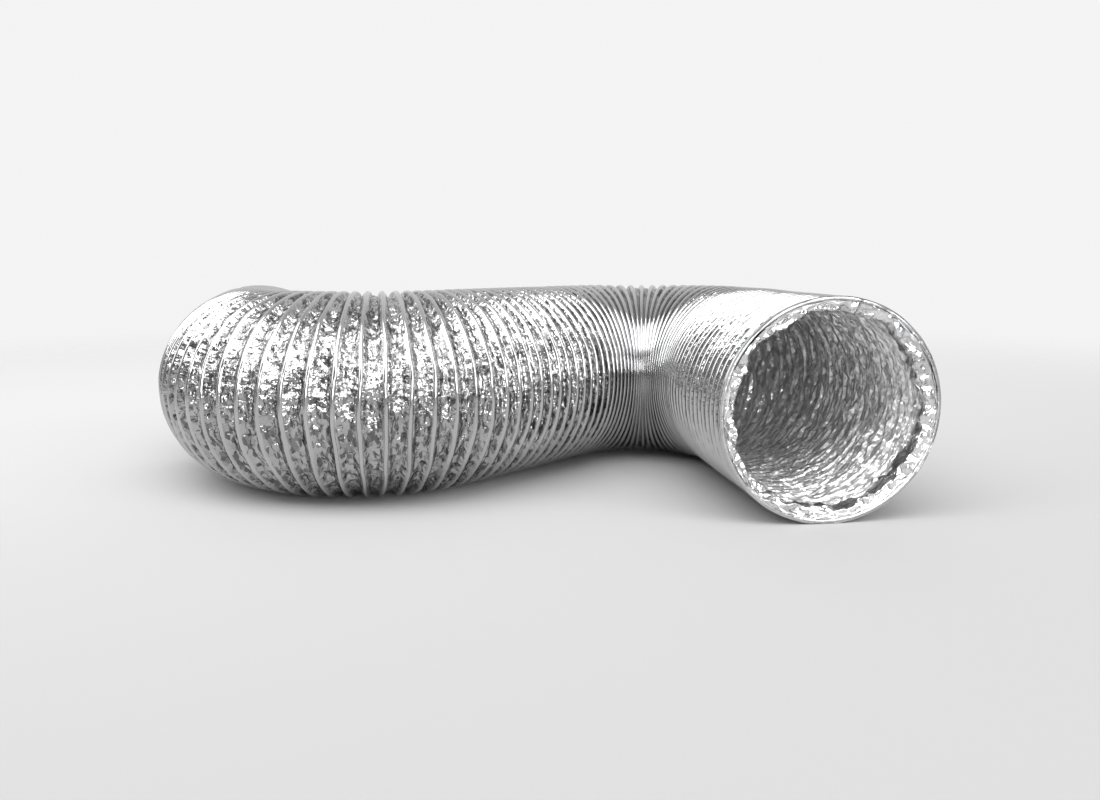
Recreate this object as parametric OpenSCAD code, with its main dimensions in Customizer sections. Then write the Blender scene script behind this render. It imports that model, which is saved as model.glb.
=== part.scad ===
// Flexible air duct: one spring-steel wire, wound as a helix between two plies
// of aluminium foil laminate, lying in an S on a flat surface. Both ends are
// open, and each end's plies are turned in over the wire as a hem.
//
// The duct is one continuous length. It is cut into lengths only where it
// moves: plain lengths hold their shape, and the pleated lengths between them
// stretch or bend. Millimetres, +Z up, the mouth opens towards -Y, and the
// origin is under the middle of the whole duct.

/* [Duct] */
// Clear bore, which slides over a spigot
bore_d = 152; // [120:1:200]
// Thickness of each foil ply
ply_t = 0.4; // [0.3:0.05:0.8]
// Diameter of the spring-steel wire
wire_d = 1.2; // [0.8:0.1:1.3]
// How far each rib stands over the foil between the turns
rib_h = 3; // [1:0.25:5]
// Distance from turn to turn along the straight lengths
rib_pitch = 10.2; // [7:0.1:16]

/* [Ribs in each length] */
// Mouth cuff, which holds the spigot
mouth_cuff_ribs = 5; // [3:1:9]
// Pleats behind the mouth cuff, which stretch
mouth_pleat_ribs = 6; // [4:1:12]
// Straight run up to the near bend
mouth_run_ribs = 5; // [2:1:12]
// Each pleated length of the near bend
near_pleat_ribs = 8; // [4:1:9]
// Plain length in the middle of the near bend
near_elbow_ribs = 6; // [3:1:8]
// Straight run between the two bends
middle_run_ribs = 14; // [4:1:30]
// Each pleated length of the far bend
far_pleat_ribs = 7; // [4:1:8]
// Plain length in the middle of the far bend
far_elbow_ribs = 6; // [3:1:8]
// Far cuff, with the end that takes the second spigot
far_cuff_ribs = 8; // [3:1:20]

/* [Bends] */
// Radius that stays free inside each bend
bend_inner_r = 16.5; // [15:0.5:80]
// Angle of the near bend, to the left as seen from the mouth
near_bend = 130; // [100:1:150]
// Angle of the far bend, to the right
far_bend = 120; // [90:1:140]

/* [Ends] */
// Length of foil turned in at each end
hem_l = 12; // [6:1:25]
// Thickness of the folded edge
hem_t = 0.6; // [0.4:0.1:1.5]
// Depth pressed flat where the ribs rest on the surface
flat_cut = 0.5; // [0.2:0.1:1]

/* [Hidden] */
// Sides of the faceted tubes. Plies and wire share them, so they nest.
SIDES = 16;
FLAT = cos(180 / SIDES);      // a flat's distance from the axis, as a share of a corner's
STEP = 360 / SIDES;
FN = 96;

// Radial build, from the bore outwards, at the corners of the faceted tubes
play = 0.25;                              // between the plies and the wire
bore_r = bore_d / 2;
liner_r = bore_r + ply_t;                 // outside of the inner ply
wire_c = wire_d / 2 * sqrt(PI / 2);       // half diagonal of a square of the wire's area
wire_r = (liner_r + play) / FLAT + wire_c;
cover_r = wire_r + wire_c + play;         // inside of the outer ply
valley_r = cover_r + ply_t;
crest_r = valley_r + rib_h;
axis_z = crest_r * FLAT - flat_cut;       // the duct's axis over the surface
bend_r = crest_r * FLAT + bend_inner_r;   // the bends' radius at the axis

// Lengths from mouth to far end: [ribs, length along the axis, angle turned]
near_ribs = 2 * near_pleat_ribs + near_elbow_ribs;
far_ribs = 2 * far_pleat_ribs + far_elbow_ribs;
function straight(ribs) = [ribs, ribs * rib_pitch, 0];
function bent(ribs, all, angle) =
    [ribs, bend_r * PI / 180 * abs(angle) * ribs / all, angle * ribs / all];
LENGTHS = [
    straight(mouth_cuff_ribs),
    straight(mouth_pleat_ribs),
    straight(mouth_run_ribs),
    bent(near_pleat_ribs, near_ribs, near_bend),
    bent(near_elbow_ribs, near_ribs, near_bend),
    bent(near_pleat_ribs, near_ribs, near_bend),
    straight(middle_run_ribs),
    bent(far_pleat_ribs, far_ribs, -far_bend),
    bent(far_elbow_ribs, far_ribs, -far_bend),
    bent(far_pleat_ribs, far_ribs, -far_bend),
    straight(far_cuff_ribs),
];
LAST = len(LENGTHS) - 1;
function ribs(k) = LENGTHS[k][0];
function long(k) = LENGTHS[k][1];
function turn(k) = LENGTHS[k][2];

// A place on the axis is [x, y, heading], a share t of the way along length k
function ahead(h) = [cos(h), sin(h)];
function left(h) = [-sin(h), cos(h)];
function along(from, k, t) =
    let (h = from[2], xy = [from[0], from[1]])
    turn(k) == 0
        ? [each (xy + long(k) * t * ahead(h)), h]
        : let (r = bend_r * sign(turn(k)), h1 = h + turn(k) * t)
          [each (xy + r * (left(h) - left(h1))), h1];
function starts(k = 0, from = [0, 0, 90]) =
    k > LAST ? [from] : [from, each starts(k + 1, along(from, k, 1))];
START = starts();

// Turns of the helix are counted from the mouth, and length k starts at BEGIN[k]
function count(k = 0, n = 0) = k > LAST ? [n] : [n, each count(k + 1, n + ribs(k))];
BEGIN = count();
function place(k, u) = along(START[k], k, (u - BEGIN[k]) / ribs(k));

// A point of length k at turn u, at a radius and an angle round the axis,
// and a distance forward along it. Angle 0 looks right of the heading.
function point(k, u, r, a, forward = 0) =
    let (p = place(k, u), xy = [p[0], p[1]] - r * cos(a) * left(p[2]) + forward * ahead(p[2]))
    [xy[0], xy[1], axis_z + r * sin(a)];

// Corners sit half a step round, so the tube lies on a flat and not a corner
function corner(j) = (j + 0.5) * STEP;

// Height of the helical rib at a phase, in turns: 1 on the crest, 0 in the valley
function rib(phase) = abs(2 * (phase - floor(phase)) - 1);

function resting(p) = [p[0], p[1], max(p[2], 0)];

// The outer ply stops short of the two hems' folded edges
function ply_from(k) = BEGIN[k] + (k == 0 ? hem_t / rib_pitch : 0);
function ply_to(k) = BEGIN[k + 1] - (k == LAST ? hem_t / rib_pitch : 0);

// Outer skin of the outer ply: two rows of corners a turn, which wind with the
// helix and stop at the length's two end planes
function first_row(k) = 2 * BEGIN[k] - 2;
function rows(k) = 2 * ribs(k) + 3;
function at_row(k, i, j) =
    max(ply_from(k), min(ply_to(k), (first_row(k) + i) / 2 + j / SIDES));
function skin_points(k) = [
    for (i = [0 : rows(k) - 1]) for (j = [0 : SIDES - 1])
        let (u = at_row(k, i, j))
        resting(point(k, u, valley_r + rib_h * rib(u - j / SIDES), corner(j)))
];

// Inner face of the outer ply: plain rings
function plain_rings(k) = turn(k) == 0 ? 2 : ribs(k) + 1;
function plain_points(k, r) = [
    for (i = [0 : plain_rings(k) - 1]) for (j = [0 : SIDES - 1])
        let (t = i / (plain_rings(k) - 1))
        point(k, ply_from(k) * (1 - t) + ply_to(k) * t, r, corner(j))
];

// The two triangles of a four-cornered face, without any that has no area
function split(p, f) = [
    for (t = [[f[0], f[1], f[2]], [f[0], f[2], f[3]]])
        if (p[t[0]] != p[t[1]] && p[t[1]] != p[t[2]] && p[t[2]] != p[t[0]]) t
];

module outer_foil(k) {
    skin = skin_points(k);
    points = concat(skin, plain_points(k, cover_r));
    base = len(skin);
    top = rows(k) - 1;
    rings = plain_rings(k) - 1;
    // past the last side, a row carries on as the row one turn further on
    function at(i, j) = j < SIDES ? i * SIDES + j : min(i + 2, top) * SIDES;
    function in(i, j) = base + i * SIDES + j % SIDES;
    function end(i, j) = i * SIDES + j % SIDES;
    faces = [
        for (i = [0 : top - 1]) for (j = [0 : SIDES - 1])
            each split(points, [at(i, j), at(i + 1, j), at(i + 1, j + 1), at(i, j + 1)]),
        for (i = [0 : rings - 1]) for (j = [0 : SIDES - 1])
            each split(points, [in(i, j), in(i, j + 1), in(i + 1, j + 1), in(i + 1, j)]),
        for (j = [0 : SIDES - 1])
            each split(points, [end(0, j), end(0, j + 1), in(0, j + 1), in(0, j)]),
        for (j = [0 : SIDES - 1])
            each split(points, [end(top, j), in(rings, j), in(rings, j + 1), end(top, j + 1)])
    ];
    placed() color("silver") polyhedron(points, faces);
}

// The wire runs under the crest. It starts and stops inside the two hems.
wire_end = 0.25;
function wire_from(k) = BEGIN[k] + (k == 0 ? wire_end : 0);
function wire_to(k) = BEGIN[k + 1] - (k == LAST ? wire_end : 0);
function wire_rings(k) = (wire_to(k) - wire_from(k)) * SIDES;
function wire_ring(k, i) =
    let (u = wire_from(k) + i / SIDES, a = corner(u * SIDES))
    [
        point(k, u, wire_r + wire_c, a),
        point(k, u, wire_r, a, wire_c),
        point(k, u, wire_r - wire_c, a),
        point(k, u, wire_r, a, -wire_c)
    ];

module wire(k) {
    n = wire_rings(k);
    points = [for (i = [0 : n]) each wire_ring(k, i)];
    faces = [
        for (i = [0 : n - 1]) for (j = [0 : 3])
            let (a = 4 * i + j, b = 4 * i + (j + 1) % 4)
            each [[a, b, b + 4], [a, b + 4, a + 4]],
        [0, 3, 2], [0, 2, 1],
        [4 * n, 4 * n + 1, 4 * n + 2], [4 * n, 4 * n + 2, 4 * n + 3]
    ];
    placed() color("slategray") polyhedron(points, faces);
}

// Inner ply: the smooth bore, a true tube along each length
module inner_foil(k) {
    from = k == 0 ? hem_l : 0;
    to = long(k) - (k == LAST ? hem_l : 0);
    placed() color("gainsboro")
        if (turn(k) == 0)
            ahead_of(k) translate([0, 0, from]) tube(liner_r, bore_r, to - from);
        else
            round_bend(k) ring(liner_r, bore_r);
}

module ring(outer, inner) {
    difference() {
        circle(outer, $fn = FN);
        circle(inner, $fn = FN);
    }
}

module tube(outer, inner, length) {
    linear_extrude(length) ring(outer, inner);
}

// Stands a shape made along +Z on the start of length k, along its heading
module ahead_of(k) {
    translate([START[k][0], START[k][1], axis_z])
        rotate([0, 90, START[k][2]])
            children();
}

// Sweeps a section about the centre of the bend that length k is part of
module round_bend(k) {
    side = sign(turn(k));
    h = START[k][2];
    centre = [START[k][0], START[k][1]] + side * bend_r * left(h);
    translate([centre[0], centre[1], axis_z])
        rotate(side > 0 ? h - 90 : h + 90 + turn(k))
            rotate_extrude(angle = abs(turn(k)), $fn = 2 * FN)
                translate([bend_r, 0])
                    children();
}

// The plies' cut ends, turned in over the first turn of wire. It lies just
// clear of the surface and continues the bore.
hem_r = axis_z - 0.3;
module hem() {
    color("whitesmoke") {
        tube(hem_r, bore_r, hem_t);
        tube(liner_r, bore_r, hem_l);
    }
}
module mouth_hem() {
    placed() translate([0, 0, axis_z]) rotate([-90, 0, 0]) hem();
}
module far_hem() {
    placed() translate([START[LAST + 1][0], START[LAST + 1][1], axis_z])
        rotate([0, -90, START[LAST + 1][2]]) hem();
}

// Everything is drawn from the mouth, then moved so that the origin is under
// the middle of the duct's box
EDGE = [for (k = [0 : LAST]) each skin_points(k)];
function middle(i) =
    let (all = [for (p = EDGE) p[i]])
    (min(all) + max(all)) / 2;
OFFSET = [middle(0), middle(1), 0];
module placed() {
    translate(-OFFSET) children();
}

// Least gap between neighbouring turns of the wire, side by side, on its corners
TURN_GAP = min([
    for (k = [0 : LAST]) for (i = [0 : (ribs(k) - 1) * SIDES])
        let (u = BEGIN[k] + i / SIDES, a = corner(i))
        norm(point(k, u + 1, wire_r, a) - point(k, u, wire_r, a)) - 2 * wire_c
]);
echo(str("Least gap between the wire's turns: ", TURN_GAP, " mm"));
echo(str("Wire length: ", PI * 2 * wire_r * (BEGIN[LAST + 1] - 2 * wire_end) / 1000, " m"));

mouth_hem();
outer_foil(0);  // outer_foil_mouth_cuff
inner_foil(0);  // inner_foil_mouth_cuff
wire(0);  // wire_mouth_cuff
outer_foil(1);  // outer_foil_mouth_pleats
inner_foil(1);  // inner_foil_mouth_pleats
wire(1);  // wire_mouth_pleats
outer_foil(2);  // outer_foil_mouth_run
inner_foil(2);  // inner_foil_mouth_run
wire(2);  // wire_mouth_run
outer_foil(3);  // outer_foil_near_bend_in
inner_foil(3);  // inner_foil_near_bend_in
wire(3);  // wire_near_bend_in
outer_foil(4);  // outer_foil_near_elbow
inner_foil(4);  // inner_foil_near_elbow
wire(4);  // wire_near_elbow
outer_foil(5);  // outer_foil_near_bend_out
inner_foil(5);  // inner_foil_near_bend_out
wire(5);  // wire_near_bend_out
outer_foil(6);  // outer_foil_middle_run
inner_foil(6);  // inner_foil_middle_run
wire(6);  // wire_middle_run
outer_foil(7);  // outer_foil_far_bend_in
inner_foil(7);  // inner_foil_far_bend_in
wire(7);  // wire_far_bend_in
outer_foil(8);  // outer_foil_far_elbow
inner_foil(8);  // inner_foil_far_elbow
wire(8);  // wire_far_elbow
outer_foil(9);  // outer_foil_far_bend_out
inner_foil(9);  // inner_foil_far_bend_out
wire(9);  // wire_far_bend_out
outer_foil(10);  // outer_foil_far_cuff
inner_foil(10);  // inner_foil_far_cuff
wire(10);  // wire_far_cuff
far_hem();
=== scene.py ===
import math

import bmesh
import bpy
import numpy as np
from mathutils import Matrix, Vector


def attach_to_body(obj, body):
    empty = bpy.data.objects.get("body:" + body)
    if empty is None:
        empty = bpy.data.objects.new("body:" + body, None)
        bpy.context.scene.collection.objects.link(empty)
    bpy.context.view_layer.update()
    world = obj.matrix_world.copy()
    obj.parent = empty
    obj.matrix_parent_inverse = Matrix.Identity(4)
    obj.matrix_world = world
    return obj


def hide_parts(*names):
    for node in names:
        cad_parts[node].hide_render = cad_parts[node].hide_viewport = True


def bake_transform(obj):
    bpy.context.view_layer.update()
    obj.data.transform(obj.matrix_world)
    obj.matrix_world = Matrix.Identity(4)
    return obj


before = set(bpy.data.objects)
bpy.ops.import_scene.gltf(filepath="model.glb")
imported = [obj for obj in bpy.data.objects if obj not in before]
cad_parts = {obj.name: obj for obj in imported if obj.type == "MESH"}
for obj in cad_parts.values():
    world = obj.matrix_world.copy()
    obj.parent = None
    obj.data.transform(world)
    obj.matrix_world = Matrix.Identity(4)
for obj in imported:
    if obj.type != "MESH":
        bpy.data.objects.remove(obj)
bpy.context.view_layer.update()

MM = 0.001
ROUND = 2 * math.pi

# ---------------------------------------------------------------- camera
CAMERA_AT = (-0.0505, -0.7317, 0.1883)
CAMERA_DOWN, CAMERA_RIGHT = 0.165, 0.126  # radians below level, and to the right of +Y
CAMERA_SENSOR, CAMERA_LENS = 36, 27.8

camera = bpy.data.objects.new("Camera", bpy.data.cameras.new("Camera"))
bpy.context.scene.collection.objects.link(camera)
camera.location = CAMERA_AT
camera.rotation_euler = (math.pi / 2 - CAMERA_DOWN, 0, -CAMERA_RIGHT)
camera.data.sensor_width = CAMERA_SENSOR
camera.data.lens = CAMERA_LENS
bpy.context.scene.camera = camera

# ---------------------------------------------------------------- the duct's route, in millimetres
BEND_R = 98.2049  # radius of both bends, at the axis
AXIS_Z = 81.2049  # height of the axis
PITCH = 10.2  # from rib to rib where the duct is straight
RIB_R = 82  # radius over the ribs
NEAR, FAR = math.radians(130), math.radians(120)  # what each bend turns
NEAR_RIBS, FAR_RIBS = 22, 20  # ribs in each bend
MOUTH_AT = (221.301, -171.529)


def bent(name, ribs, of_ribs, turn):
    return name, ribs, BEND_R * abs(turn) * ribs / of_ribs, turn * ribs / of_ribs


# Each length: name, ribs, length along the axis, angle turned (left is positive)
LENGTHS = [
    ("mouth_cuff", 5, 51.0, 0),
    ("mouth_pleats", 6, 61.2, 0),
    ("mouth_run", 5, 51.0, 0),
    bent("near_bend_in", 8, NEAR_RIBS, NEAR),
    bent("near_elbow", 6, NEAR_RIBS, NEAR),
    bent("near_bend_out", 8, NEAR_RIBS, NEAR),
    ("middle_run", 14, 142.8, 0),
    bent("far_bend_in", 7, FAR_RIBS, -FAR),
    bent("far_elbow", 6, FAR_RIBS, -FAR),
    bent("far_bend_out", 7, FAR_RIBS, -FAR),
    ("far_cuff", 8, 81.6, 0),
]
NAMES = [q[0] for q in LENGTHS]
RIBS = np.array([q[1] for q in LENGTHS], float)
LONG = np.array([q[2] for q in LENGTHS], float)
TURN = np.array([q[3] for q in LENGTHS], float)
LAST = len(LENGTHS) - 1
BEGIN = np.concatenate([[0], np.cumsum(RIBS)])  # the turn at which each length begins
ALL = BEGIN[-1]


def ahead(h):
    return np.stack([np.cos(h), np.sin(h)], -1)


def left(h):
    return np.stack([-np.sin(h), np.cos(h)], -1)


STARTS = [np.array(MOUTH_AT)]
HEADS = [math.pi / 2]
for n in range(len(LENGTHS)):
    h0, h1 = HEADS[-1], HEADS[-1] + TURN[n]
    if TURN[n] == 0:
        STARTS.append(STARTS[-1] + LONG[n] * ahead(h0))
    else:
        STARTS.append(STARTS[-1] + BEND_R * np.sign(TURN[n]) * (left(h0) - left(h1)))
    HEADS.append(h1)
START_XY = np.array(STARTS[:-1])
START_H = np.array(HEADS[:-1])


def place(u):
    """Plan position and heading of the axis at turn u, and the pitch at the axis."""
    k = np.clip(np.searchsorted(BEGIN, u, side="right") - 1, 0, LAST)
    t = (u - BEGIN[k]) / RIBS[k]
    h0, turn = START_H[k], TURN[k]
    h1 = h0 + turn * t
    straight = START_XY[k] + (LONG[k] * t)[..., None] * ahead(h0)
    curved = START_XY[k] + (BEND_R * np.sign(turn))[..., None] * (left(h0) - left(h1))
    return np.where((turn == 0)[..., None], straight, curved), h1, LONG[k] / RIBS[k]


# A bend takes its neighbours with it: the rings lean over evenly, not from one turn to the
# next. So a ring's heading is a Gaussian mean of the axis's, SPREAD turns wide and narrower
# near the ends, where it is the distance from the end over SPREAD_ENDS.
SPREAD, SPREAD_ENDS = 4.0, 2.4
TABLE_U = np.linspace(0, ALL, 1601)
TABLE_H = place(np.minimum(TABLE_U, ALL - 1e-6))[1]
spread = np.minimum(TABLE_U, ALL - TABLE_U) / SPREAD_ENDS
spread = np.maximum(np.minimum(SPREAD, spread), 1e-3)
weight = np.exp(-0.5 * ((TABLE_U[:, None] - TABLE_U[None]) / spread[:, None]) ** 2)
RING_H = (weight * TABLE_H[None]).sum(1) / weight.sum(1)
RING_TURN = np.gradient(RING_H, TABLE_U)


def ring_heading(u):
    return np.interp(u, TABLE_U, RING_H)


def to_row(u, a, r):
    """A point at turn u, angle a (0 is right of the heading) and radius r, in metres."""
    xy = place(u)[0]
    xy = xy - (r * np.cos(a))[..., None] * left(ring_heading(u))
    z = AXIS_Z + r * np.sin(a)
    return np.concatenate([xy, np.maximum(z, 0)[..., None]], -1) * MM


# ---------------------------------------------------------------- noise, the same on every run
CELL_SHIFT = 100000  # keeps the numbers of the cells positive
CRUMPLE_LEVEL = 0.62  # taken off the distance, so that creases go in as well as out


def chance(i, j, k, seed):
    """A number from 0 to 1 for each cell, mixed from the bits of its three numbers."""
    n = (
        i.astype(np.uint64) * np.uint64(0x9E3779B1)
        + j.astype(np.uint64) * np.uint64(0x85EBCA77)
        + k.astype(np.uint64) * np.uint64(0xC2B2AE3D)
        + np.uint64(seed * 0x27D4EB2F)
    ) & np.uint64(0xFFFFFFFF)
    n = ((n ^ (n >> np.uint64(15))) * np.uint64(0x2C1B3C6D)) & np.uint64(0xFFFFFFFF)
    n = ((n ^ (n >> np.uint64(12))) * np.uint64(0x297A2D39)) & np.uint64(0xFFFFFFFF)
    n = n ^ (n >> np.uint64(15))
    return n.astype(float) / 4294967296.0


def smooth(p, seed):
    """Value noise from -1 to 1 at points p (..., 3)."""
    base = np.floor(p).astype(np.int64)
    f = p - base
    f = f * f * (3 - 2 * f)
    base = base + CELL_SHIFT
    total = 0
    for dx in (0, 1):
        for dy in (0, 1):
            for dz in (0, 1):
                w = (
                    (f[..., 0] if dx else 1 - f[..., 0])
                    * (f[..., 1] if dy else 1 - f[..., 1])
                    * (f[..., 2] if dz else 1 - f[..., 2])
                )
                total = total + w * chance(
                    base[..., 0] + dx, base[..., 1] + dy, base[..., 2] + dz, seed
                )
    return 2 * total - 1


def crumple(p, seed):
    """Distance to the nearest of scattered points: flat facets that meet in creases."""
    base = np.floor(p).astype(np.int64)
    near = np.full(p.shape[:-1], 9.0)
    for dx in (-1, 0, 1):
        for dy in (-1, 0, 1):
            for dz in (-1, 0, 1):
                c = base + (dx, dy, dz)
                i, j, k = (c[..., n] + CELL_SHIFT for n in range(3))
                q = np.stack([chance(i, j, k, seed + n) for n in range(3)], -1)
                near = np.minimum(near, np.abs(c + q - p).sum(-1))
    return near - CRUMPLE_LEVEL


def layered(noise, p, layers):
    """The sum of layers of noise: height, size of the cells in millimetres, seed."""
    total = 0
    for height, size, seed in layers:
        total = total + height * noise(p / size, seed)
    return total


# ---------------------------------------------------------------- the foil's shape
CREST = 81.95  # radius over the ribs, before the swell and the dents
STEPS = 20  # rows of the mesh to a turn
AROUND = 320  # points round a row
START_PHASE = 1 / 32  # of a turn
EDGE = 0.02  # turns kept clear at each end
WALL_R = 80  # radius at which the pitch is taken
BEAD, BEAD_SHARE = 1.7, 0.33  # half a rib's width, and the most of the pitch that it takes
TALL, TALL_SHARE = 1.85, 1.15  # a rib's height, and the most of its half width
SWELL, SWELL_SIZE, SWELL_SEED = 0.35, (60, 60, 45), 11
DENT, DENT_SIZE, DENT_SEED = 0.15, (11, 11, 9), 13
PATCH, PATCH_SIZE, PATCH_SEED = 0.3, (26, 26, 16), 12  # some patches are pressed in deeper
FOLD = 0.4  # height of the fold between the turns, as a share of the depth
FOLD_HALF = 0.42  # half its width, as a share of the way from one rib to the middle
BORE_CLEAR = 75.9  # the outer ply stays outside about this radius
BORE_R = 76.6  # the inner ply's radius where it is not creased
BORE_FOLLOWS, BORE_DEEP = 0.15, 2.1  # how far it follows the outer ply, and its creases
BORE_LEAST, BORE_MOST, PLY_GAP = 73.8, 79.2, 0.5
HEM_CALM = 22  # millimetres from a hem in which the turns are pressed flatter
# the turns from which the foil grows more crushed, and over how many
PLEATED_TO, PLEATED_FADE = 44, 10
LEG_TO, LEG_FADE = 16, 14
# by pitch: how deep the foil lies between the ribs, and how rough it is there
DEPTH_AT = ([1.7, 4, 8, 10.2, 14, 18.6], [0.7, 2.3, 3.7, 4.0, 3.8, 3.6])
ROUGH_AT = ([4, 6, 10.2, 18.6], [0.0, 0.3, 1.35, 2.3])
OUTER_CREASES = ((0.8, (17, 17, 7), 21), (0.85, (10, 10, 4.6), 31), (0.3, (4, 4, 3), 41))
BORE_CREASES = ((1.9, (22, 22, 7.5), 301), (1.3, (13, 13, 4.6), 311), (0.3, (5, 5, 4), 321))
WANDER = ((0.12, (70, 70, 30), 51), (0.06, (30, 30, 12), 52), (0.035, (16, 16, 9), 53))


def rounded(x):
    x = np.clip(x, 0, 1)
    return x * x * (3 - 2 * x)


def local_pitch(u, a):
    """From rib to rib at angle a: short on the wall inside a bend, long on the one outside."""
    _, h, pitch = place(u)
    lean = h - ring_heading(u)
    return pitch * np.cos(lean) + WALL_R * np.cos(a) * np.interp(u, TABLE_U, RING_TURN)


def half_bead(pitch):
    return np.minimum(BEAD, BEAD_SHARE * pitch)


def unrolled(u, a):
    """The foil laid back into a straight tube, so creases wrap round without a seam."""
    return np.stack([RIB_R * np.cos(a), RIB_R * np.sin(a), PITCH * u], -1)


def phase_rows(pitch):
    """Phases of the rows of one turn: close together over the wire, even over the foil."""
    bead = half_bead(pitch)
    first = [bead * q / pitch for q in (0, 0.34, 0.64, 0.87, 1.0, 1.2)]
    rest = [first[5] + (1 - 2 * first[5]) * q / 10 for q in range(1, 10)]
    last = [1 - q for q in first[:0:-1]]
    return first + rest + last


def foil_radius(u, a, v):
    """Outer ply's radius, and how far each point is up the rib (1 on it, 0 off it)."""
    f = v - np.floor(v)
    pitch = local_pitch(u, a)
    x = np.minimum(f, 1 - f) * pitch
    bead = half_bead(pitch)
    p = unrolled(u, a)
    patch = smooth(p / PATCH_SIZE, PATCH_SEED)
    swell = smooth(p / SWELL_SIZE, SWELL_SEED)
    crest = CREST + SWELL * swell + DENT * smooth(p / DENT_SIZE, DENT_SEED)
    on = np.clip(x / bead, 0, 1)
    y = np.clip((x - bead) / np.maximum(pitch / 2 - bead, 1e-6), 0, 1)
    tall = np.minimum(TALL, TALL_SHARE * bead)
    from_end = np.minimum(u, ALL - u) * PITCH
    calm = rounded(from_end / HEM_CALM)
    depth = np.interp(pitch, *DEPTH_AT) * (0.4 + 0.6 * calm) * (1 + PATCH * patch)
    rough = np.interp(pitch, *ROUGH_AT) * (0.45 + 0.55 * calm)
    folds = layered(crumple, p, OUTER_CREASES)
    # from the mouth to the middle run the foil is less crushed, and a fold stands up between
    # the turns
    pleated = 1 - rounded((u - PLEATED_TO) / PLEATED_FADE)
    leg = 1 - rounded((u - LEG_TO) / LEG_FADE)
    rough = rough * (1 - 0.25 * pleated - 0.55 * leg)
    high = 0.75 + 0.5 * smooth(p / (22, 22, 9), 14)
    fold = FOLD * np.clip(pitch / 10, 0, 1) * depth * high
    middle = 1 - np.abs(1 - y - 0.12 * smooth(p / (14, 14, 8), 15)) / FOLD_HALF
    r = crest - tall * (1 - np.sqrt(1 - 0.94 * on**2)) - depth * rounded(1.8 * y)
    r = r + rough * folds * rounded(2.2 * y) + pleated * fold * rounded(middle)
    # where the turns are nearly solid the foil stays smooth
    plain = 1 - rounded((pitch - 4.5) / 4)
    rib = 1 - rounded((x - 0.8 * bead) / (0.5 * bead))
    rib = np.maximum(rib, np.maximum(plain, 0.4 * leg))
    return np.maximum(r, BORE_CLEAR + 0.2 * folds), rib


def bore_radius(u, a, r):
    """Inner ply's radius: a loose skin that bridges the turns, broken into long creases."""
    creases = layered(crumple, unrolled(u, a), BORE_CREASES)
    loose = BORE_R + BORE_FOLLOWS * (r - 79) + BORE_DEEP * creases
    most = np.minimum(np.minimum(loose, r - PLY_GAP), BORE_MOST)
    return np.maximum(most, BORE_LEAST + 0.4 * creases)


def uneven(turns, whole, a):
    """Where along the duct a point of the winding lies: the turns are not quite even."""
    wander = layered(smooth, unrolled(turns, a), WANDER)
    return turns - START_PHASE + wander * rounded(np.minimum(whole, ALL - whole) / 3)


def grid(first, last):
    """The outer ply, a helical sheet from row 'first' to row 'last' (STEPS rows to a turn)."""
    cols = np.arange(AROUND + 1) * 2 * math.pi / AROUND
    turn, step = np.divmod(np.arange(first, last + 1), STEPS)
    a = np.broadcast_to(cols, (len(turn), AROUND + 1))
    rough_u = turn[:, None] + 0.5 + a / ROUND
    pitch = local_pitch(np.clip(rough_u, 0, ALL - 1e-6), a)
    phases = np.stack(phase_rows(pitch), 0)
    steps = np.broadcast_to(step[:, None], pitch.shape)
    v = turn[:, None] + np.take_along_axis(phases, steps[None], 0)[0]
    u = np.clip(uneven(v + a / ROUND, v, a), EDGE, ALL - EDGE)
    r, rib = foil_radius(u, a, v)
    return u, a, r, rib, v


def sheet_mesh(name, u, a, r, rib):
    """An object from rows of points, joined where the rows close."""
    points = to_row(u, a, r)
    rows, cols = points.shape[:2]
    index = np.arange(rows * cols).reshape(rows, cols)
    faces = np.stack(
        [index[:-1, :-1], index[1:, :-1], index[1:, 1:], index[:-1, 1:]], -1
    ).reshape(-1, 4)
    mesh = bpy.data.meshes.new(name)
    mesh.vertices.add(rows * cols)
    mesh.vertices.foreach_set("co", points.ravel().astype(np.float32))
    mesh.loops.add(faces.size)
    mesh.loops.foreach_set("vertex_index", faces.ravel().astype(np.int32))
    mesh.polygons.add(len(faces))
    mesh.polygons.foreach_set("loop_start", (np.arange(len(faces)) * 4).astype(np.int32))
    mesh.update(calc_edges=True)
    where = mesh.attributes.new("foil_place", "FLOAT_VECTOR", "POINT")
    where.data.foreach_set("vector", (unrolled(u, a) * MM).ravel().astype(np.float32))
    ribs = mesh.attributes.new("foil_rib", "FLOAT", "POINT")
    ribs.data.foreach_set("value", rib.ravel().astype(np.float32))
    b = bmesh.new()
    b.from_mesh(mesh)
    bmesh.ops.remove_doubles(b, verts=b.verts, dist=2e-6)
    b.to_mesh(mesh)
    b.free()
    mesh.polygons.foreach_set("use_smooth", np.ones(len(mesh.polygons), bool))
    mesh.update()
    obj = bpy.data.objects.new(name, mesh)
    bpy.context.scene.collection.objects.link(obj)
    return obj


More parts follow.
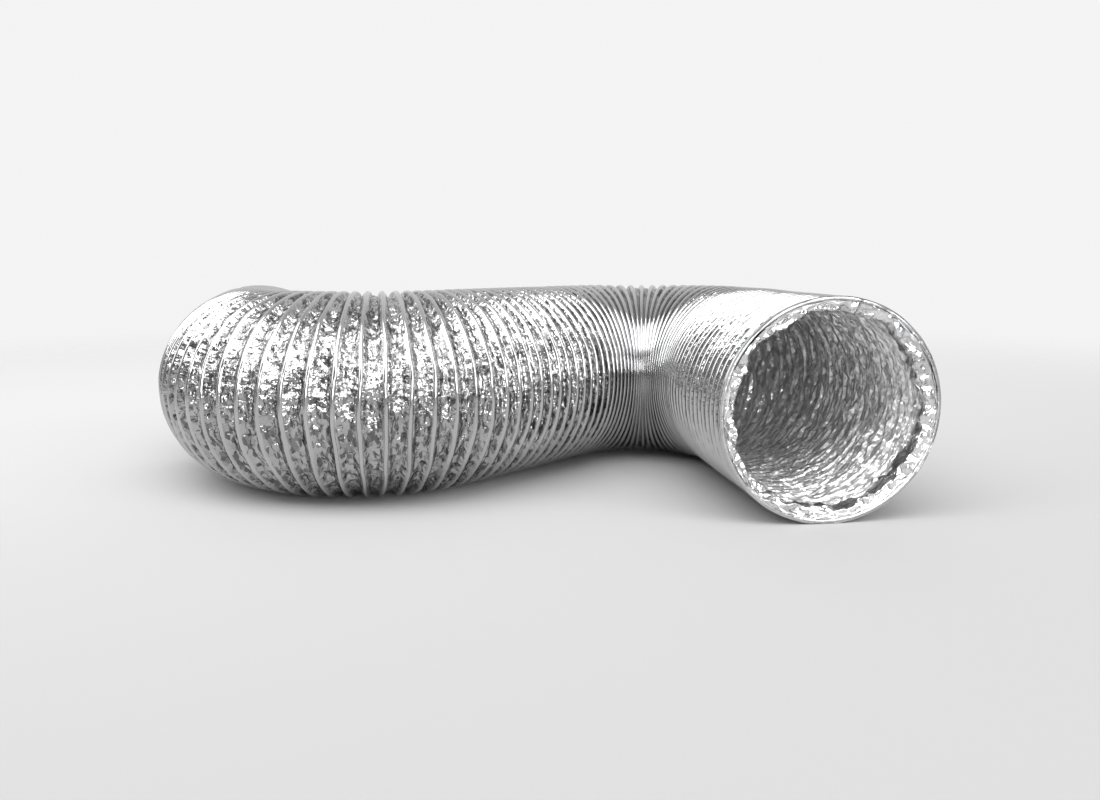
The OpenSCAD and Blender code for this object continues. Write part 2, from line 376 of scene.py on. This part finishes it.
# ---------------------------------------------------------------- materials
class Tree:
    """The nodes of a material or world, with a call for each kind of node used here."""

    def __init__(self, owner):
        owner.use_nodes = True
        self.nodes, self.links = owner.node_tree.nodes, owner.node_tree.links

    def new(self, kind):
        return self.nodes.new(kind)

    def link(self, source, socket):
        self.links.new(source, socket)

    def attribute(self, name):
        n = self.new("ShaderNodeAttribute")
        n.attribute_name = name
        return n

    def coordinates(self, kind):
        return self.new("ShaderNodeTexCoord").outputs[kind]

    def separate(self, vector):
        n = self.new("ShaderNodeSeparateXYZ")
        self.link(vector, n.inputs[0])
        return n.outputs

    def noise(self, vector, scale, detail):
        n = self.new("ShaderNodeTexNoise")
        n.inputs["Scale"].default_value = scale
        n.inputs["Detail"].default_value = detail
        self.link(vector, n.inputs["Vector"])
        return n.outputs["Fac"]

    def cells(self, vector, scale, metric="EUCLIDEAN"):
        n = self.new("ShaderNodeTexVoronoi")
        n.distance = metric
        n.inputs["Scale"].default_value = scale
        self.link(vector, n.inputs["Vector"])
        return n.outputs

    def stretched(self, vector, by):
        n = self.new("ShaderNodeVectorMath")
        n.operation = "MULTIPLY"
        n.inputs[1].default_value = by
        self.link(vector, n.inputs[0])
        return n.outputs["Vector"]

    def span(self, value, start, to, interpolation="LINEAR"):
        """The value, from 'start' to 'to'."""
        n = self.new("ShaderNodeMapRange")
        n.interpolation_type = interpolation
        n.inputs["From Min"].default_value, n.inputs["From Max"].default_value = start
        n.inputs["To Min"].default_value, n.inputs["To Max"].default_value = to
        self.link(value, n.inputs["Value"])
        return n.outputs["Result"]

    def maths(self, operation, a, b):
        n = self.new("ShaderNodeMath")
        n.operation = operation
        for socket, value in zip(n.inputs, (a, b)):
            if isinstance(value, (int, float)):
                socket.default_value = value
            else:
                self.link(value, socket)
        return n.outputs[0]

    def colour(self, fac, a, b):
        n = self.new("ShaderNodeMix")
        n.data_type = "RGBA"
        n.inputs[6].default_value = (*a, 1)
        n.inputs[7].default_value = (*b, 1)
        self.link(fac, n.inputs[0])
        return n.outputs[2]


def material(name):
    m = bpy.data.materials.new(name)
    tree = Tree(m)
    return m, tree, tree.nodes["Principled BSDF"]


# the crush, and the painted shade of the facets, run round the duct more than along it
CRUSH_STRETCH, FACET_SHADE_STRETCH = (0.6, 0.6, 1.3), (0.7, 0.7, 1.3)
PATCHES, GRAIN, SHADED_FACETS = 38, 160, 420  # scales, to the metre
# scale, height and metric of the creases too fine for the mesh
FINE_CREASES = ((300, 1.0, "MANHATTAN"), (620, 0.35, "MANHATTAN"), (1300, 0.1, "EUCLIDEAN"))
BUMP_FOIL, BUMP_RIB, BUMP_ELSEWHERE = 0.8, 0.03, 0.75
# painted shade: between the ribs even the lightest facet is painted this much darker than the ribs
GROOVE_SHADE_LIGHTEST = 0.88


def foil(name, dark, light, roughness, crease, ribbed=True, shadow=0.5, metal=1.0):
    """Crushed laminate. crease is the bump's height in metres, shadow the darkest painted shade of
    a facet.
    """
    m, tree, shader = material(name)
    shader.inputs["Metallic"].default_value = metal
    at = tree.stretched(tree.attribute("foil_place").outputs["Vector"], CRUSH_STRETCH)

    # patchy brightness, as the laminate picks up handling marks
    tone = tree.colour(tree.noise(at, PATCHES, 5), dark, light)
    shine = tree.span(tree.noise(at, GRAIN, 4), (0.3, 0.7), roughness)
    tree.link(shine, shader.inputs["Roughness"])

    # small creases at three sizes; the larger ones are in the mesh
    height = None
    for scale, high, metric in FINE_CREASES:
        layer = tree.maths("MULTIPLY", tree.cells(at, scale, metric)["Distance"], high)
        height = layer if height is None else tree.maths("ADD", height, layer)
    bump = tree.new("ShaderNodeBump")
    bump.inputs["Distance"].default_value = crease
    bump.inputs["Strength"].default_value = BUMP_ELSEWHERE
    tree.link(height, bump.inputs["Height"])
    if ribbed:
        rib = tree.attribute("foil_rib").outputs["Fac"]
        tree.link(tree.span(rib, (0, 1), (BUMP_FOIL, BUMP_RIB)), bump.inputs["Strength"])
    tree.link(bump.outputs["Normal"], shader.inputs["Normal"])

    # painted shade: each small facet of the crushed foil is darkened by a random amount, standing
    # in for facets turned away from the light, and between the ribs even the lightest facet is
    # painted darker than the ribs, which stay unshaded
    facets = tree.cells(tree.stretched(at, FACET_SHADE_STRETCH), SHADED_FACETS)["Color"]
    split = tree.new("ShaderNodeSeparateColor")
    tree.link(facets, split.inputs[0])
    painted_shade = tree.span(split.outputs[0], (0.12, 0.62), (shadow, GROOVE_SHADE_LIGHTEST if ribbed else 1.0))
    if ribbed:
        even = tree.new("ShaderNodeMix")
        tree.link(rib, even.inputs[0])
        tree.link(painted_shade, even.inputs[2])
        even.inputs[3].default_value = 1.0
        painted_shade = even.outputs[0]
    shade = tree.new("ShaderNodeVectorMath")
    shade.operation = "SCALE"
    tree.link(tone, shade.inputs[0])
    tree.link(painted_shade, shade.inputs["Scale"])
    tree.link(shade.outputs["Vector"], shader.inputs["Base Color"])
    return m


# painted shade: the outer ply's colour is set much darker than the lip's, though the lip is the
# same foil turned in, so that it reflects less and reads darker, standing in for shade from darker
# surroundings
OUTER = foil(
    "outer_laminate", (0.42, 0.42, 0.424), (0.64, 0.64, 0.645), (0.09, 0.2), 0.001,
    shadow=0.3,
)
INNER = foil(
    "inner_laminate", (0.86, 0.86, 0.86), (0.95, 0.95, 0.95), (0.08, 0.17), 0.0009,
    ribbed=False, shadow=0.6, metal=0.58,
)
LIP = foil(
    "turned_in_laminate", (0.78, 0.78, 0.79), (0.93, 0.93, 0.935), (0.08, 0.18), 0.0004,
    ribbed=False, shadow=0.7,
)
RIM = foil(
    "rolled_edge_laminate", (0.50, 0.50, 0.51), (0.66, 0.66, 0.67), (0.22, 0.38), 0.0003,
    ribbed=False, shadow=0.85,
)

WIRE, tree, shader = material("spring_steel")
shader.inputs["Metallic"].default_value = 1.0
draw = tree.noise(tree.coordinates("Object"), 900, 3)
steel = tree.colour(draw, (0.34, 0.34, 0.35), (0.52, 0.52, 0.53))
tree.link(steel, shader.inputs["Base Color"])
tree.link(draw, shader.inputs["Roughness"])


# ---------------------------------------------------------------- the lengths of duct
CUT = 5  # rows past the crest, where the foil meets the rib, so a join lies in a crease
TUCK = 0.2  # how far the tucked turns lie under their neighbours, in millimetres
OVERREACH = 12  # how far past its ends the span worked out for a pleated length reaches
TO_ELBOW = 4  # how far, in a bend, that span is moved towards the elbow
# the bodies on either side of each pleated length; a plain length rides on the body of its name
BETWEEN = {
    "mouth_pleats": ("mouth_cuff", "mouth_run"),
    "near_bend_in": ("mouth_run", "near_elbow"),
    "near_bend_out": ("near_elbow", "middle_run"),
    "far_bend_in": ("middle_run", "far_elbow"),
    "far_bend_out": ("far_elbow", "far_cuff"),
}
WIRE_STEPS = 48  # points to a turn
WIRE_SIDES = 8
WIRE_R = 0.6
WIRE_DEEP = 1.05  # from the crest to the middle of the wire
WIRE_ENDS = (0.2, 1.2)  # turns without wire at the mouth and at the far end
WIRE_EDGE = 0.12


def attach(obj, k):
    name = NAMES[k]
    if name not in BETWEEN:
        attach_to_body(obj, name)
        return
    p, q = STARTS[k], STARTS[k + 1]
    m, d = (p + q) / 2, (q - p) / np.linalg.norm(q - p)
    # The span past the piece's ends over which its change of shape was to spread is worked out,
    # but nothing uses it: the piece is only baked where it lies
    reach = LONG[k] / 2 + OVERREACH
    if TURN[k] != 0:
        # the wall outside the bend is nearly twice as long as the chord at the axis
        reach = (BEND_R + RIB_R) * math.sin(abs(TURN[k]) / 2) + OVERREACH
        m = m + (TO_ELBOW if name.endswith("_in") else -TO_ELBOW) * d
    p, q = m - reach * d, m + reach * d
    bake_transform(obj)


def finish_piece(obj, k, look, node):
    obj.data.materials.append(look)
    attach(obj, k)
    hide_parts(node)


def rows_of(k):
    """The first and last row of a length: the two ends of the duct have no neighbour."""
    first = int(BEGIN[k]) * STEPS + CUT
    last = int(BEGIN[k + 1]) * STEPS + CUT
    if k == 0:
        first = -STEPS
    if k == LAST:
        last = int(ALL) * STEPS
    return first, last


def tuck(v, k):
    """1 where a pleated length runs under its neighbours, so that no gap opens as it moves."""
    first, last = BEGIN[k] + 0.35, BEGIN[k + 1] + 0.05
    return rounded((first - v) / 0.15) + rounded((v - last) / 0.15)


def spring_wire(k):
    """The wire of one length, a round tube just under the crest."""
    turns = np.arange(int(BEGIN[k]) * WIRE_STEPS, int(BEGIN[k + 1]) * WIRE_STEPS + 1) / WIRE_STEPS
    if k == 0:
        turns = turns[turns >= WIRE_ENDS[0]]
    if k == LAST:
        turns = turns[turns <= ALL - WIRE_ENDS[1]]
    whole = np.floor(turns)
    angle = (turns - whole) * 2 * math.pi
    u = np.clip(uneven(turns, whole, angle), WIRE_EDGE, ALL - WIRE_EDGE)
    swell = smooth(unrolled(u, angle) / SWELL_SIZE, SWELL_SEED)
    middle = CREST + SWELL * swell - WIRE_DEEP
    ring = np.arange(WIRE_SIDES + 1) * 2 * math.pi / WIRE_SIDES
    # thinner along the duct where the turns are nearly solid
    pitch = local_pitch(u, angle)
    scale = np.minimum(1, 0.3 * pitch / WIRE_R)
    du = WIRE_R * np.sin(ring)[None] * scale[:, None] / pitch[:, None]
    return sheet_mesh(
        "spring_wire_" + NAMES[k],
        np.clip(u[:, None] + du, EDGE, ALL - EDGE),
        np.broadcast_to(angle[:, None], du.shape),
        middle[:, None] + WIRE_R * np.cos(ring)[None],
        np.ones(du.shape),
    )


for k, name in enumerate(NAMES):
    first, last = rows_of(k)
    more = STEPS if name in BETWEEN else 0
    u, a, r, rib, v = grid(first - more, last + more)
    under = TUCK * (tuck(v, k) if more else 0)
    skin = sheet_mesh("outer_skin_" + name, u, a, r - under, rib)
    finish_piece(skin, k, OUTER, "outer_foil_" + name)
    bore = sheet_mesh("bore_skin_" + name, u, a, bore_radius(u, a, r) + under, rib)
    finish_piece(bore, k, INNER, "inner_foil_" + name)
    finish_piece(spring_wire(k), k, WIRE, "wire_" + name)


# ---------------------------------------------------------------- the two ends
END_COLS = 480
RIM_R, RIM_SIZE, RIM_SIDES = 80.2, 1.75, 14
LIP_ROWS = 34
LIP_OUT, LIP_IN = 79.0, 70.2  # radius of the lip where it starts and where it turns


def end_pieces(which, end, inward, body, seed):
    """The rolled edge and the turned-in lip, at turn 'end'; inward is 1 or -1."""
    cols = np.arange(END_COLS + 1) * 2 * math.pi / END_COLS
    ring = np.stack([np.cos(cols), np.sin(cols)], -1)

    def row_noise(size, n):
        p = np.concatenate([ring * RIB_R / size, np.full((len(cols), 1), n * 3.7)], -1)
        return smooth(p, seed + n)

    def finish_end(part, look, s, a, r):
        u = end + inward * s / PITCH
        obj = sheet_mesh(which + "_" + part, u, a, r, np.zeros(s.shape))
        obj.data.materials.append(look)
        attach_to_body(obj, body)
        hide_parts(which + "_hem")

    # the rolled edge over the last turn of wire; s is how far in from the end, in millimetres
    around = np.arange(RIM_SIDES + 1) * 2 * math.pi / RIM_SIDES
    size = RIM_SIZE + 0.22 * row_noise(9, 1) + 0.12 * row_noise(3.5, 2)
    s = RIM_SIZE + size[None] * np.cos(around)[:, None]
    r = RIM_R + 0.25 * row_noise(60, 3)[None] + size[None] * np.sin(around)[:, None]
    s, r, a = (np.broadcast_to(q, s.shape) for q in (s, r, cols[None]))
    finish_end("rim", RIM, s, a, r)

    # the cut edge of both plies, turned in over the wire and crushed: first across, then
    # along the bore
    t = np.linspace(0, 1, LIP_ROWS)[:, None]
    long = 10 + 3.0 * row_noise(26, 4) + 2.5 * row_noise(9, 5) + 1.2 * row_noise(3, 6)
    inner = LIP_IN + 1.6 * row_noise(30, 7) + 1.5 * row_noise(9, 8)
    across = np.clip(t / 0.55, 0, 1)
    along = np.clip((t - 0.5) / 0.5, 0, 1)
    s = 1.2 + 3.2 * across**2 + along * long[None]
    r = LIP_OUT + (inner[None] - LIP_OUT) * np.sin(across * math.pi / 2) + 2.2 * along**2
    at = np.stack([
        np.broadcast_to(r * ring[:, 0], s.shape),
        np.broadcast_to(r * ring[:, 1], s.shape), s], -1)
    hold = rounded(t * 3.5)
    r = r + 3.0 * crumple(at / (13, 13, 13), seed + 61) * hold
    shuffle = layered(crumple, at, (
        (5.0, (13, 13, 13), seed + 81), (3.0, (5.5, 5.5, 5.5), seed + 91)))
    s = s + shuffle * hold
    r, s = np.minimum(r, 79.3), np.maximum(s, 0.7)
    finish_end("lip", LIP, s, np.broadcast_to(cols[None], s.shape), r)


end_pieces("mouth", 0.0, 1, "mouth_cuff", 100)
end_pieces("far", ALL, -1, "far_cuff", 200)

# ---------------------------------------------------------------- studio
FLOOR_HALF = 60
FLOOR_DOWN = 0.0006  # just under the duct, so that the two never share a plane
FLOOR_DARK, FLOOR_PALE = (0.29, 0.29, 0.29), (0.8, 0.8, 0.8)
FADE = (0.35, 1.9)  # from the duct's middle, where the floor starts and ends its fade
FADE_Y = (-1.3, 0.2)  # and the y from which it fades at all
PALE_BEHIND, PALE_BEFORE = (-0.7, 1.2), (-1.7, -3.2)  # where the floor turns pale, in y
BACKDROP_Y = (-0.7, 0.75)  # from behind the camera to behind the duct
BACKDROP = (0.26, 0.9)

corners = [(x * FLOOR_HALF, y * FLOOR_HALF, 0) for x, y in ((-1, -1), (1, -1), (1, 1), (-1, 1))]
floor_mesh = bpy.data.meshes.new("floor")
floor_mesh.from_pydata(corners, [], [(0, 1, 2, 3)])
floor = bpy.data.objects.new("floor", floor_mesh)
bpy.context.scene.collection.objects.link(floor)
floor.location.z = -FLOOR_DOWN
paint, tree, shader = material("floor_paint")
shader.inputs["Roughness"].default_value = 0.85
on_floor = tree.coordinates("Object")
away = tree.new("ShaderNodeVectorMath")
away.operation = "LENGTH"
tree.link(on_floor, away.inputs[0])
y = tree.separate(on_floor)["Y"]


def along_y(start, end):
    return tree.span(y, (start, end), (0, 1), "SMOOTHSTEP")


# far from the duct the floor fades into the backdrop, so that no horizon shows, but on the
# mouth's side, seen only from behind, it goes on
fade = tree.span(away.outputs["Value"], FADE, (0, 1), "SMOOTHSTEP")
gone = tree.maths("MULTIPLY", fade, along_y(*FADE_Y))
# and it is paler away from the lamps, where less of their light falls
pale = tree.maths("ADD", along_y(*PALE_BEHIND), along_y(*PALE_BEFORE))
tree.link(tree.colour(pale, FLOOR_DARK, FLOOR_PALE), shader.inputs["Base Color"])
clear = tree.new("ShaderNodeBsdfTransparent")
both = tree.new("ShaderNodeMixShader")
tree.link(gone, both.inputs[0])
tree.link(shader.outputs[0], both.inputs[1])
tree.link(clear.outputs[0], both.inputs[2])
tree.link(both.outputs[0], tree.nodes["Material Output"].inputs["Surface"])
floor_mesh.materials.append(paint)

world = bpy.data.worlds.new("studio")
bpy.context.scene.world = world
tree = Tree(world)
facing = tree.separate(tree.coordinates("Generated"))["Y"]
tone = tree.span(facing, BACKDROP_Y, BACKDROP, "SMOOTHSTEP")
tree.link(tone, tree.nodes["Background"].inputs["Color"])


def lamp(name, at, to, size, power):
    light = bpy.data.lights.new(name, "AREA")
    light.shape = "RECTANGLE"
    light.size, light.size_y = size
    light.energy = power
    obj = bpy.data.objects.new(name, light)
    bpy.context.scene.collection.objects.link(obj)
    obj.location = at
    obj.rotation_euler = (Vector(to) - Vector(at)).to_track_quat("-Z", "Y").to_euler()


lamp("softbox_top", (-0.25, -0.7, 1.25), (0, 0, 0.1), (1.9, 1.1), 31)
lamp("softbox_left", (-1.3, -0.5, 0.9), (-0.1, 0, 0.1), (0.8, 0.9), 7)
lamp("softbox_right", (1.0, -1.0, 0.75), (0, 0, 0.1), (0.8, 0.6), 9)
lamp("softbox_front", (0.3, -1.6, 0.42), (0.18, -0.1, 0.1), (1.0, 0.45), 10)

bpy.context.scene.view_settings.view_transform = "Standard"
